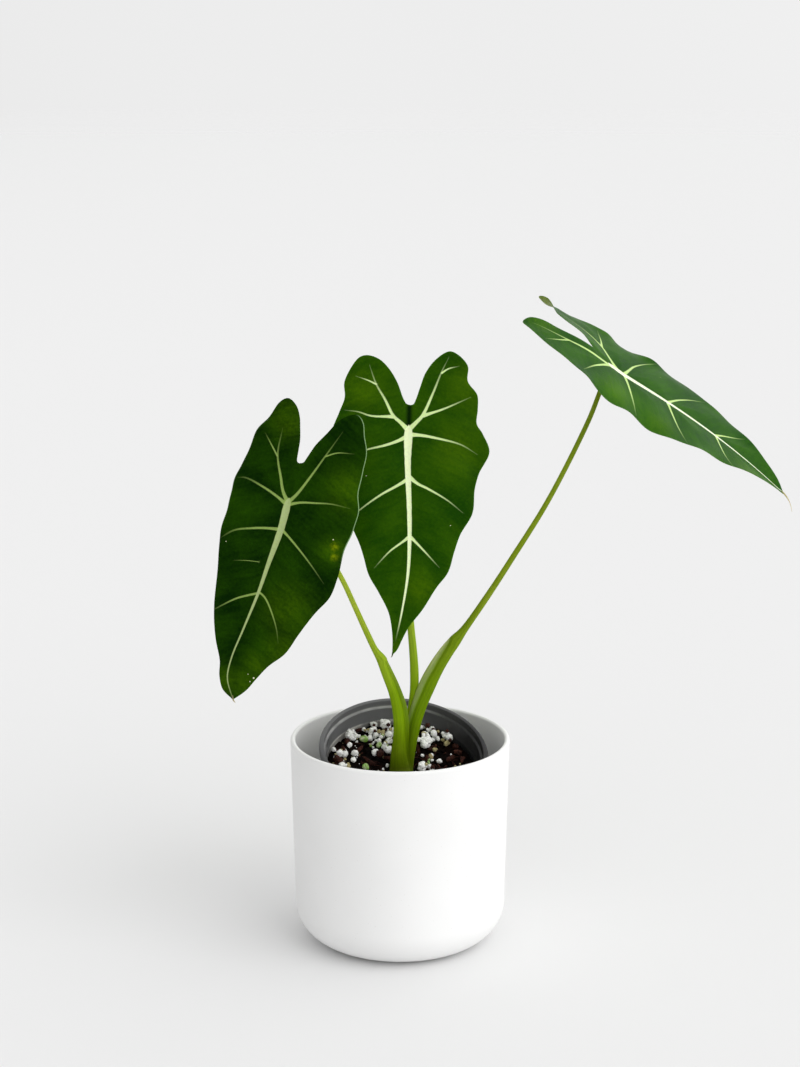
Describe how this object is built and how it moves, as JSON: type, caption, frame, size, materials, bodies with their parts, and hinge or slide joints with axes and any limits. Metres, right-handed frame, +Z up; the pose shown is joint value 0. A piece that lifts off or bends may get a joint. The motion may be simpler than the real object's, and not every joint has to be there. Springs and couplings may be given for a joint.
{
  "type": "potted alocasia",
  "caption": "Young alocasia with arrow-shaped dark green leaves and pale veins, in a dark nursery pot tilted inside a plain white cover pot.",
  "frame": {"origin": "middle of the cover pot's flat base, on the surface that the pot stands on", "axes": "+Z up along the cover pot's axis; -Y is the front, which the two hanging blades face; +X is to the right seen from the front"},
  "size_m": [0.3521, 0.14, 0.4124],
  "materials": {
    "white_ceramic": "matt white glaze",
    "dark_plastic": "satin moulded plastic",
    "soil": "damp, crumbly",
    "corm": "fibrous",
    "petiole": "smooth, slightly waxy",
    "leaf_blade": "velvety upper side with pale veins",
    "perlite": "porous",
    "green_granule": "porous with algae",
    "tan_granule": "porous",
    "bark": "rough, fibrous"
  },
  "bodies": {
    "root": {"cover_pot": "white_ceramic", "nursery_pot": "dark_plastic", "soil": "soil", "corm": "corm", "left_petiole": "petiole", "centre_petiole": "petiole", "right_petiole": "petiole", "left_leaf": "leaf_blade", "centre_leaf": "leaf_blade", "right_leaf": "leaf_blade", "perlite_01": "perlite", "perlite_02": "perlite", "perlite_03": "perlite", "perlite_04": "perlite", "perlite_05": "perlite", "perlite_06": "perlite", "perlite_07": "perlite", "perlite_08": "perlite", "perlite_09": "perlite", "perlite_10": "perlite", "perlite_11": "perlite", "perlite_12": "perlite", "perlite_13": "perlite", "perlite_14": "perlite", "perlite_15": "perlite", "perlite_16": "perlite", "perlite_17": "perlite", "perlite_18": "perlite", "perlite_19": "perlite", "perlite_20": "perlite", "green_granule_01": "green_granule", "green_granule_02": "green_granule", "green_granule_03": "green_granule", "tan_granule_01": "tan_granule", "tan_granule_02": "tan_granule", "tan_granule_03": "tan_granule", "bark_01": "bark", "bark_02": "bark", "bark_03": "bark", "bark_04": "bark", "bark_05": "bark", "bark_06": "bark", "bark_07": "bark"}
  },
  "joints": []
}
